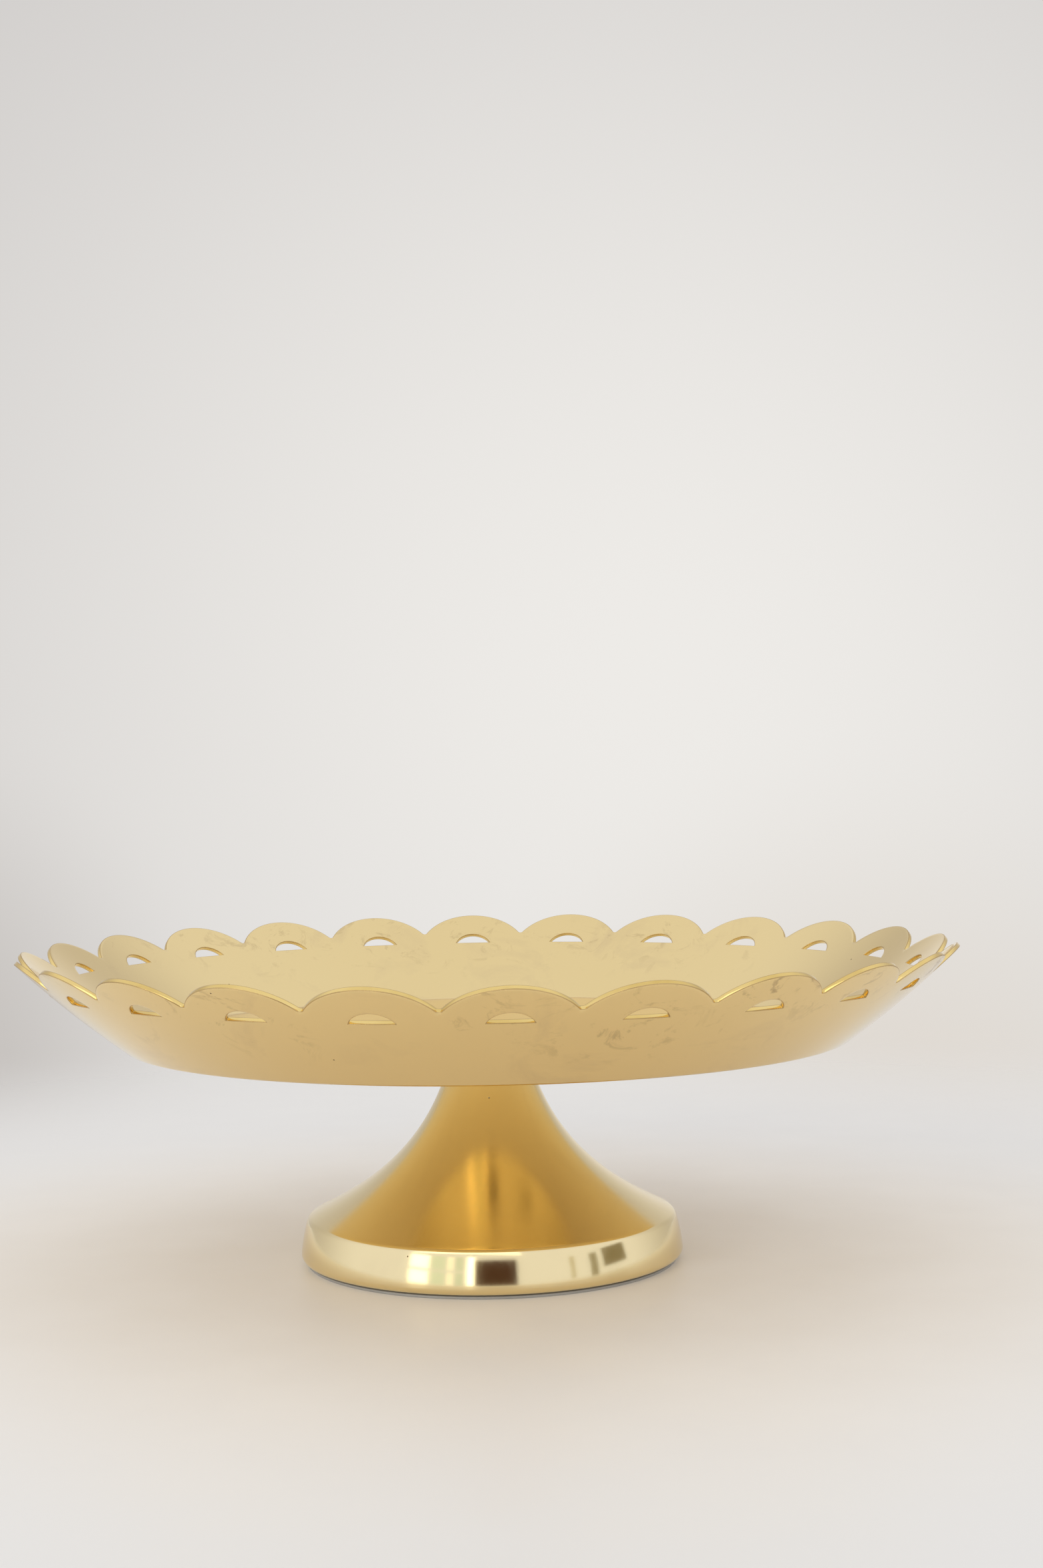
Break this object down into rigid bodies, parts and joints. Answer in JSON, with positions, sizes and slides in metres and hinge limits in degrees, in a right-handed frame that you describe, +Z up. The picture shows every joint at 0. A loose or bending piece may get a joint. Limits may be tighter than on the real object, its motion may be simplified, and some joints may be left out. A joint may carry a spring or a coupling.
{
  "type": "cake stand",
  "caption": "Round footed cake stand: a shallow dish with a scalloped, pierced rim on a hollow trumpet pedestal, fixed by a welded stud and a wing nut.",
  "frame": {"origin": "on the table under the middle of the stand", "axes": "+Z up along the pedestal's axis; the stand looks the same from every side, and one notch of the rim lies 4 degrees from -Y"},
  "size_m": [0.2536, 0.2536, 0.0859],
  "materials": {
    "gold_plating": "mirror-polished gold coloured plating on sheet metal",
    "zinc_plating": "bright zinc plating",
    "spring_steel": "plain spring steel, lightly oiled",
    "clear_vinyl": "cloudy clear soft vinyl"
  },
  "bodies": {
    "foot": {"pedestal": "gold_plating", "foot_ring": "clear_vinyl"},
    "plate_seat": {"seat_washer": "clear_vinyl"},
    "dish": {"plate": "gold_plating", "stud_disc": "zinc_plating", "threaded_stud": "zinc_plating"},
    "washers": {"flat_washer": "zinc_plating", "spring_washer": "spring_steel"},
    "wing_nut": {"wing_nut": "zinc_plating"}
  },
  "joints": [
    {"name": "plate_lift", "type": "slide", "parent": "foot", "child": "plate_seat", "axis": [0, 0, 1], "range_m": [0, 0.03]},
    {"name": "plate_swivel", "type": "hinge", "parent": "plate_seat", "child": "dish", "pos_m": [0, 0, 0.06], "axis": [0, 0, 1], "continuous": true},
    {"name": "nut_run_down", "type": "slide", "parent": "foot", "child": "washers", "axis": [0, 0, -1], "range_m": [0, 0.01085]},
    {"name": "wing_nut_turn", "type": "hinge", "parent": "washers", "child": "wing_nut", "pos_m": [0, 0, 0.05], "axis": [0, 0, -1], "range_deg": [0, 4860]}
  ],
  "couplings": [
    {"joint": "nut_run_down", "follows": "wing_nut_turn", "m_per_rad": 0.00012732}
  ]
}
